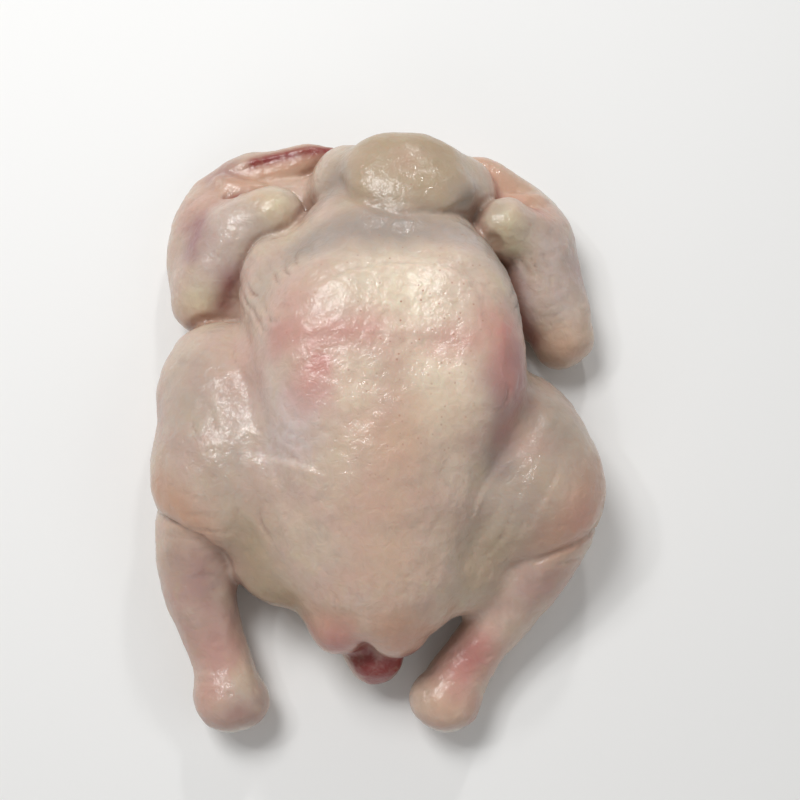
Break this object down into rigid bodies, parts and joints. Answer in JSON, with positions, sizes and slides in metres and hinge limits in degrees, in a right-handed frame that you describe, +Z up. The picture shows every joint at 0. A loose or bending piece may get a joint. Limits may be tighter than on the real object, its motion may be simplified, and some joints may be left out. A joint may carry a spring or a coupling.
{
  "type": "whole raw chicken",
  "caption": "Whole raw plucked chicken lying on its back, wings folded and legs spread, with pale moist skin.",
  "frame": {"origin": "centre of the bounding box, on the table plane that the back rests on", "axes": "+Z up through the breast, +Y towards the neck end, +X to the right as seen from above with the neck end away from the viewer"},
  "size_m": [0.1568, 0.2108, 0.0671],
  "materials": {
    "raw_skin": "moist raw poultry skin: pale cream to peach, pink over the breast and joints, lavender-grey over the crop, satin with small wet highlights"
  },
  "bodies": {
    "root": {"chicken": "raw_skin"}
  },
  "joints": []
}
